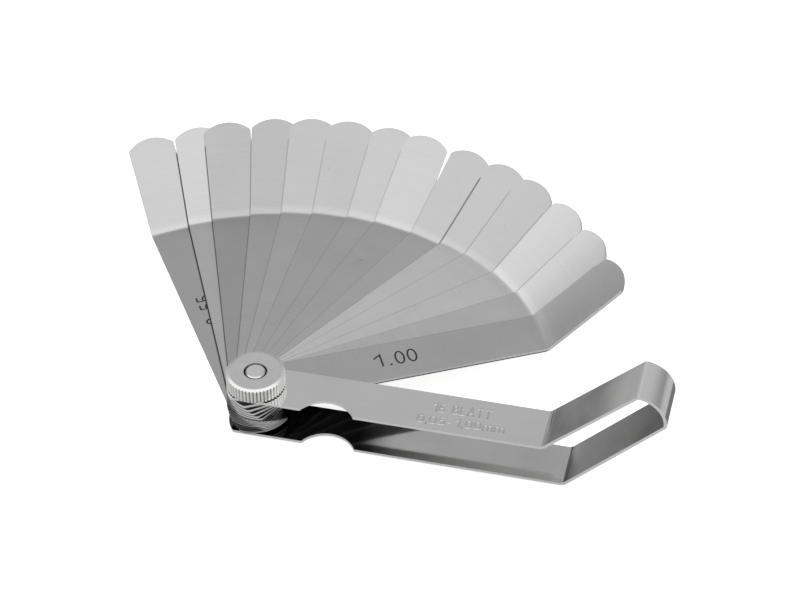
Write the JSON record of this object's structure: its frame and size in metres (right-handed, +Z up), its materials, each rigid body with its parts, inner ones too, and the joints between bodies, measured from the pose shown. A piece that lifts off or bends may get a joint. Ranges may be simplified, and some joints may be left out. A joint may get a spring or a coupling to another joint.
{
  "type": "feeler gauge",
  "caption": "Folding feeler gauge: steel blades with raised tips fanned out on one pivot, in a bent sheet-steel holder locked by a knurled thumb nut.",
  "frame": {"origin": "on the pivot axis, on the flat end of the screw head, the lowest point of the gauge", "axes": "+Z up along the pivot screw towards the nut, +X along the holder from the pivot to its closed end, +Y towards the side the blades are fanned to"},
  "size_m": [0.1612, 0.1034, 0.0352],
  "materials": {
    "holder_steel": "satin nickel-plated",
    "screw_steel": "turned, nickel-plated",
    "nut_steel": "turned and knurled, satin nickel-plated",
    "blade_steel": "ground spring steel, fine grain across the width"
  },
  "bodies": {
    "holder": {"holder": "holder_steel", "pivot_screw": "screw_steel", "spacer_washer": "screw_steel"},
    "nut": {"knurled_nut": "nut_steel"},
    "blade_1_00": {"blade_1_00": "blade_steel"},
    "blade_0_90": {"blade_0_90": "blade_steel"},
    "blade_0_80": {"blade_0_80": "blade_steel"},
    "blade_0_70": {"blade_0_70": "blade_steel"},
    "blade_0_60": {"blade_0_60": "blade_steel"},
    "blade_0_05": {"blade_0_05": "blade_steel"},
    "blade_0_10": {"blade_0_10": "blade_steel"},
    "blade_0_15": {"blade_0_15": "blade_steel"},
    "blade_0_20": {"blade_0_20": "blade_steel"},
    "blade_0_25": {"blade_0_25": "blade_steel"},
    "blade_0_30": {"blade_0_30": "blade_steel"},
    "blade_0_35": {"blade_0_35": "blade_steel"},
    "blade_0_40": {"blade_0_40": "blade_steel"},
    "blade_0_45": {"blade_0_45": "blade_steel"},
    "blade_0_50": {"blade_0_50": "blade_steel"},
    "blade_0_55": {"blade_0_55": "blade_steel"}
  },
  "joints": [
    {"name": "nut_turn", "type": "hinge", "parent": "holder", "child": "nut", "pos_m": [0, 0, 0.0157], "axis": [0, 0, 1], "continuous": true},
    {"name": "blade_1_00_pivot", "type": "hinge", "parent": "holder", "child": "blade_1_00", "pos_m": [0, 0, 0.0072], "axis": [0, 0, 1], "range_deg": [-28, 152]},
    {"name": "blade_0_90_pivot", "type": "hinge", "parent": "holder", "child": "blade_0_90", "pos_m": [0, 0, 0.0072], "axis": [0, 0, 1], "range_deg": [-36.5, 143.5]},
    {"name": "blade_0_80_pivot", "type": "hinge", "parent": "holder", "child": "blade_0_80", "pos_m": [0, 0, 0.0072], "axis": [0, 0, 1], "range_deg": [-45, 135]},
    {"name": "blade_0_70_pivot", "type": "hinge", "parent": "holder", "child": "blade_0_70", "pos_m": [0, 0, 0.0072], "axis": [0, 0, 1], "range_deg": [-53.5, 126.5]},
    {"name": "blade_0_60_pivot", "type": "hinge", "parent": "holder", "child": "blade_0_60", "pos_m": [0, 0, 0.0072], "axis": [0, 0, 1], "range_deg": [-60, 120]},
    {"name": "blade_0_05_pivot", "type": "hinge", "parent": "holder", "child": "blade_0_05", "pos_m": [0, 0, 0.0072], "axis": [0, 0, 1], "range_deg": [-59.7, 120.3]},
    {"name": "blade_0_10_pivot", "type": "hinge", "parent": "holder", "child": "blade_0_10", "pos_m": [0, 0, 0.0072], "axis": [0, 0, 1], "range_deg": [-59.4, 120.6]},
    {"name": "blade_0_15_pivot", "type": "hinge", "parent": "holder", "child": "blade_0_15", "pos_m": [0, 0, 0.0072], "axis": [0, 0, 1], "range_deg": [-67.5, 112.5]},
    {"name": "blade_0_20_pivot", "type": "hinge", "parent": "holder", "child": "blade_0_20", "pos_m": [0, 0, 0.0072], "axis": [0, 0, 1], "range_deg": [-76, 104]},
    {"name": "blade_0_25_pivot", "type": "hinge", "parent": "holder", "child": "blade_0_25", "pos_m": [0, 0, 0.0072], "axis": [0, 0, 1], "range_deg": [-82, 98]},
    {"name": "blade_0_30_pivot", "type": "hinge", "parent": "holder", "child": "blade_0_30", "pos_m": [0, 0, 0.0072], "axis": [0, 0, 1], "range_deg": [-89.5, 90.5]},
    {"name": "blade_0_35_pivot", "type": "hinge", "parent": "holder", "child": "blade_0_35", "pos_m": [0, 0, 0.0072], "axis": [0, 0, 1], "range_deg": [-96, 84]},
    {"name": "blade_0_40_pivot", "type": "hinge", "parent": "holder", "child": "blade_0_40", "pos_m": [0, 0, 0.0072], "axis": [0, 0, 1], "range_deg": [-102.5, 77.5]},
    {"name": "blade_0_45_pivot", "type": "hinge", "parent": "holder", "child": "blade_0_45", "pos_m": [0, 0, 0.0072], "axis": [0, 0, 1], "range_deg": [-110.5, 69.5]},
    {"name": "blade_0_50_pivot", "type": "hinge", "parent": "holder", "child": "blade_0_50", "pos_m": [0, 0, 0.0072], "axis": [0, 0, 1], "range_deg": [-115.5, 64.5]},
    {"name": "blade_0_55_pivot", "type": "hinge", "parent": "holder", "child": "blade_0_55", "pos_m": [0, 0, 0.0072], "axis": [0, 0, 1], "range_deg": [-123.5, 56.5]}
  ]
}
